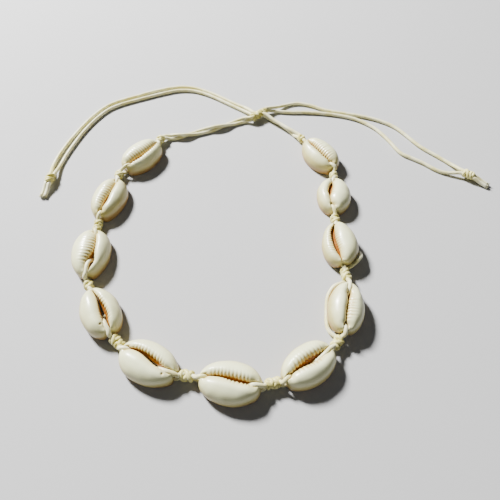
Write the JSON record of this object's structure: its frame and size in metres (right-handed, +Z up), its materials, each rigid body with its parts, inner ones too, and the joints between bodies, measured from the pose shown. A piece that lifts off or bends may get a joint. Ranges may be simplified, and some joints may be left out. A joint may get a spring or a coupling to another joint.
{
  "type": "shell necklace",
  "caption": "Choker of cut cowrie shells tied onto a doubled silky cord, closed by a sliding knot, with long knotted free ends, lying open on a flat surface.",
  "frame": {"origin": "centre of the shell string's box on the surface it lies on, at the height of the shells' cut backs", "axes": "+Z up from the surface, +Y from the front shells towards the sliding knot, +X to the wearer's side at the right of the picture"},
  "size_m": [0.191, 0.1604, 0.0087],
  "materials": {
    "shell": "glossy cream-white shell with an orange-brown inside",
    "cord": "silky pale yellow braided cord"
  },
  "bodies": {
    "root": {"shell_01": "shell", "shell_02": "shell", "shell_03": "shell", "shell_04": "shell", "shell_05": "shell", "shell_06": "shell", "shell_07": "shell", "shell_08": "shell", "shell_09": "shell", "shell_10": "shell", "shell_11": "shell", "front_strand_01": "cord", "front_strand_02": "cord", "front_strand_03": "cord", "front_strand_04": "cord", "front_strand_05": "cord", "front_strand_06": "cord", "front_strand_07": "cord", "front_strand_08": "cord", "front_strand_09": "cord", "front_strand_10": "cord", "front_strand_11": "cord", "back_strand_01": "cord", "back_strand_02": "cord", "back_strand_03": "cord", "back_strand_04": "cord", "back_strand_05": "cord", "back_strand_06": "cord", "back_strand_07": "cord", "back_strand_08": "cord", "back_strand_09": "cord", "back_strand_10": "cord", "back_strand_11": "cord", "knot_01": "cord", "knot_02": "cord", "knot_03": "cord", "knot_04": "cord", "knot_05": "cord", "knot_06": "cord", "knot_07": "cord", "knot_08": "cord", "knot_09": "cord", "knot_10": "cord", "knot_11": "cord", "knot_12": "cord", "neck_cord_left_a": "cord", "neck_cord_left_b": "cord", "neck_cord_right_a": "cord", "neck_cord_right_b": "cord", "free_cord_left_a": "cord", "free_cord_left_b": "cord", "free_cord_right_a": "cord", "free_cord_right_b": "cord", "slide_knot": "cord", "end_knot_left": "cord", "end_knot_right": "cord", "tails_left": "cord", "tails_right": "cord"}
  },
  "joints": []
}
